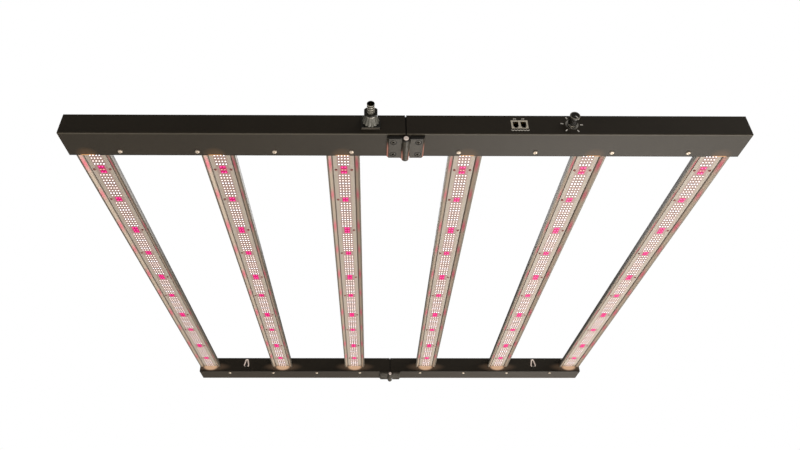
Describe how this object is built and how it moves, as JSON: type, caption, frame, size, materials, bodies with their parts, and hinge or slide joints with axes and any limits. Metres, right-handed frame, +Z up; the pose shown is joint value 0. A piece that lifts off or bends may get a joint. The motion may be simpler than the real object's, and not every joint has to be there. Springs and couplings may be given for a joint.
{
  "type": "foldable led grow light",
  "caption": "Foldable square LED grow light: aluminium light bars between two black rails with seam hinges, hanging rings, power inlet, dimming ports and a dimmer knob.",
  "frame": {"origin": "centre of the bounding box in plan, at the lowest point, which is the bottom of the hinge barrels", "axes": "+X along the rails to the dimmer's end, +Y from the rail with the controls to the plain rail, +Z up; the LEDs face -Z"},
  "size_m": [1.1, 1.112, 0.0529],
  "materials": {
    "rail_black": "matte",
    "hinge_black": "satin",
    "clip_black": "satin",
    "bar_aluminium": "satin",
    "board_white": "matte",
    "screw_zinc": "satin",
    "screw_black": "satin",
    "bracket_steel": "satin",
    "pin_chrome": "polished",
    "ring_steel": "satin",
    "driver_case": "satin",
    "inlet_plastic": "satin",
    "inlet_metal": "satin",
    "jack_grey": "matte",
    "jack_black": "matte",
    "knob_black": "satin",
    "dimmer_metal": "satin"
  },
  "bodies": {
    "left_half": {"left_front_housing": "rail_black", "left_front_cover": "rail_black", "left_rear_housing": "rail_black", "left_rear_cover": "rail_black", "left_outer_caps": "rail_black", "left_inner_caps": "rail_black", "left_cover_screws": "screw_zinc", "left_driver": "driver_case", "left_inner_heatsink": "bar_aluminium", "left_inner_board": "board_white", "left_middle_heatsink": "bar_aluminium", "left_middle_board": "board_white", "left_outer_heatsink": "bar_aluminium", "left_outer_board": "board_white", "left_bar_brackets": "bracket_steel", "left_bracket_screws": "screw_zinc", "left_board_screws": "screw_black", "front_hinge_left_leaf": "hinge_black", "rear_hinge_left_leaf": "hinge_black", "left_hinge_screws": "screw_black", "left_ring_clips": "clip_black", "front_hinge_pin": "pin_chrome", "rear_hinge_pin": "pin_chrome", "inlet_body": "inlet_plastic", "inlet_locknut": "inlet_plastic", "inlet_washer": "inlet_metal", "inlet_collar": "inlet_plastic", "inlet_nose": "inlet_plastic"},
    "right_half": {"right_front_housing": "rail_black", "right_front_cover": "rail_black", "right_rear_housing": "rail_black", "right_rear_cover": "rail_black", "right_outer_caps": "rail_black", "right_inner_caps": "rail_black", "right_cover_screws": "screw_zinc", "right_driver": "driver_case", "right_inner_heatsink": "bar_aluminium", "right_inner_board": "board_white", "right_middle_heatsink": "bar_aluminium", "right_middle_board": "board_white", "right_outer_heatsink": "bar_aluminium", "right_outer_board": "board_white", "right_bar_brackets": "bracket_steel", "right_bracket_screws": "screw_zinc", "right_board_screws": "screw_black", "front_hinge_right_leaf": "hinge_black", "rear_hinge_right_leaf": "hinge_black", "right_hinge_screws": "screw_black", "right_ring_clips": "clip_black", "jack_frame": "jack_grey", "jack_block": "jack_black", "potentiometer": "dimmer_metal", "dimmer_nut": "dimmer_metal", "dimmer_washer": "dimmer_metal"},
    "dimmer": {"dimmer_knob": "knob_black", "dimmer_shaft": "dimmer_metal"},
    "left_front_ring": {"left_front_ring": "ring_steel"},
    "left_rear_ring": {"left_rear_ring": "ring_steel"},
    "right_front_ring": {"right_front_ring": "ring_steel"},
    "right_rear_ring": {"right_rear_ring": "ring_steel"}
  },
  "joints": [
    {"name": "fold_hinge", "type": "hinge", "parent": "left_half", "child": "right_half", "pos_m": [0, 0.023, 0.006], "axis": [0, 1, 0], "range_deg": [0, 180]},
    {"name": "dimmer_turn", "type": "hinge", "parent": "right_half", "child": "dimmer", "pos_m": [0.265, -0.51, 0.03285], "axis": [0, -1, 0], "range_deg": [0, 287]},
    {"name": "left_front_ring_swing", "type": "hinge", "parent": "left_half", "child": "left_front_ring", "pos_m": [-0.416, -0.4531, 0.02735], "axis": [-1, 0, 0], "range_deg": [0, 178]},
    {"name": "left_rear_ring_swing", "type": "hinge", "parent": "left_half", "child": "left_rear_ring", "pos_m": [-0.416, 0.4991, 0.02735], "axis": [1, 0, 0], "range_deg": [0, 178]},
    {"name": "right_front_ring_swing", "type": "hinge", "parent": "right_half", "child": "right_front_ring", "pos_m": [0.416, -0.4531, 0.02735], "axis": [-1, 0, 0], "range_deg": [0, 178]},
    {"name": "right_rear_ring_swing", "type": "hinge", "parent": "right_half", "child": "right_rear_ring", "pos_m": [0.416, 0.4991, 0.02735], "axis": [1, 0, 0], "range_deg": [0, 178]}
  ]
}
